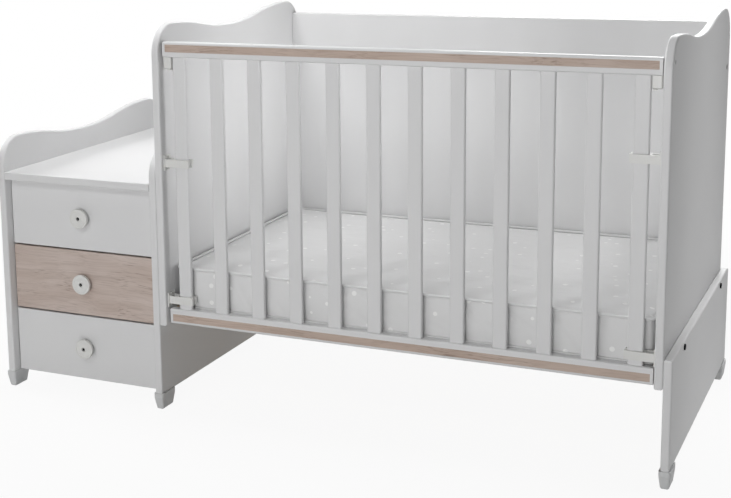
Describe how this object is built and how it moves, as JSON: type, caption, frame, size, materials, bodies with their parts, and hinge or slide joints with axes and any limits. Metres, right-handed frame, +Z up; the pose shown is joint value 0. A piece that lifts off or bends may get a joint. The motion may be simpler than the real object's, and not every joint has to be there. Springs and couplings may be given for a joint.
{
  "type": "convertible crib with drawer cabinet",
  "caption": "White board crib with a slatted drop gate and mattress, bolted to a drawer cabinet with a changing top.",
  "frame": {"origin": "centre of the footprint on the floor, under the middle of the overall box", "axes": "+X along the length from the cabinet to the leg end, the gate and drawers face -Y, +Z up"},
  "size_m": [1.608, 0.766, 0.91],
  "materials": {
    "white_board": "melamine-faced, satin",
    "ash_decor_board": "wood decor, matt",
    "white_hardboard": "lacquered",
    "pine_slats": "planed, raw",
    "white_plastic": "moulded",
    "grey_plastic": "moulded",
    "white_steel": "epoxy coated",
    "dark_steel": "black oxide",
    "zinc_steel": "zinc plated",
    "mattress_cover": "quilted, matt"
  },
  "bodies": {
    "root": {"base_back_bearer": "pine_slats", "base_front_bearer": "pine_slats", "base_slats": "pine_slats", "cabinet_back": "white_board", "cabinet_bottom": "white_board", "cabinet_feet": "grey_plastic", "cabinet_runners": "white_steel", "cabinet_screws": "white_steel", "cabinet_side_left": "white_board", "cabinet_side_right": "white_board", "cabinet_top": "white_board", "crib_back_panel": "white_board", "crib_bolts": "dark_steel", "crib_end_left": "white_board", "crib_end_right": "white_board", "gate_guide_lower_left": "white_plastic", "gate_guide_lower_right": "white_plastic", "gate_guide_upper_left": "white_plastic", "gate_guide_upper_right": "white_plastic", "guide_screws": "zinc_steel", "joining_bolts": "dark_steel", "leg_feet": "grey_plastic", "leg_panel": "white_board", "mattress": "mattress_cover"},
    "gate": {"gate_bottom_rail": "white_board", "gate_bottom_stripe": "ash_decor_board", "gate_slats": "white_board", "gate_top_rail": "white_board", "gate_top_stripe": "ash_decor_board", "latch_housing_left": "white_plastic", "latch_housing_right": "white_plastic", "latch_screws": "zinc_steel"},
    "latch_left": {"latch_bolt_left": "white_plastic"},
    "latch_right": {"latch_bolt_right": "white_plastic"},
    "drawer_top": {"drawer_top_back": "white_board", "drawer_top_floor": "white_hardboard", "drawer_top_front": "white_board", "drawer_top_knob": "white_plastic", "drawer_top_knob_screw": "dark_steel", "drawer_top_runners": "white_steel", "drawer_top_side_left": "white_board", "drawer_top_side_right": "white_board"},
    "drawer_middle": {"drawer_middle_back": "white_board", "drawer_middle_floor": "white_hardboard", "drawer_middle_front": "ash_decor_board", "drawer_middle_knob": "white_plastic", "drawer_middle_knob_screw": "dark_steel", "drawer_middle_runners": "white_steel", "drawer_middle_side_left": "white_board", "drawer_middle_side_right": "white_board"},
    "drawer_bottom": {"drawer_bottom_back": "white_board", "drawer_bottom_floor": "white_hardboard", "drawer_bottom_front": "white_board", "drawer_bottom_knob": "white_plastic", "drawer_bottom_knob_screw": "dark_steel", "drawer_bottom_runners": "white_steel", "drawer_bottom_side_left": "white_board", "drawer_bottom_side_right": "white_board"}
  },
  "joints": [
    {"name": "gate_drop", "type": "slide", "parent": "root", "child": "gate", "axis": [0, 0, 1], "range_m": [-0.115, 0]},
    {"name": "latch_left_slide", "type": "slide", "parent": "gate", "child": "latch_left", "axis": [-1, 0, 0], "range_m": [0, 0.01]},
    {"name": "latch_right_slide", "type": "slide", "parent": "gate", "child": "latch_right", "axis": [1, 0, 0], "range_m": [0, 0.01]},
    {"name": "drawer_top_slide", "type": "slide", "parent": "root", "child": "drawer_top", "axis": [0, -1, 0], "range_m": [0, 0.4]},
    {"name": "drawer_middle_slide", "type": "slide", "parent": "root", "child": "drawer_middle", "axis": [0, -1, 0], "range_m": [0, 0.4]},
    {"name": "drawer_bottom_slide", "type": "slide", "parent": "root", "child": "drawer_bottom", "axis": [0, -1, 0], "range_m": [0, 0.4]}
  ]
}
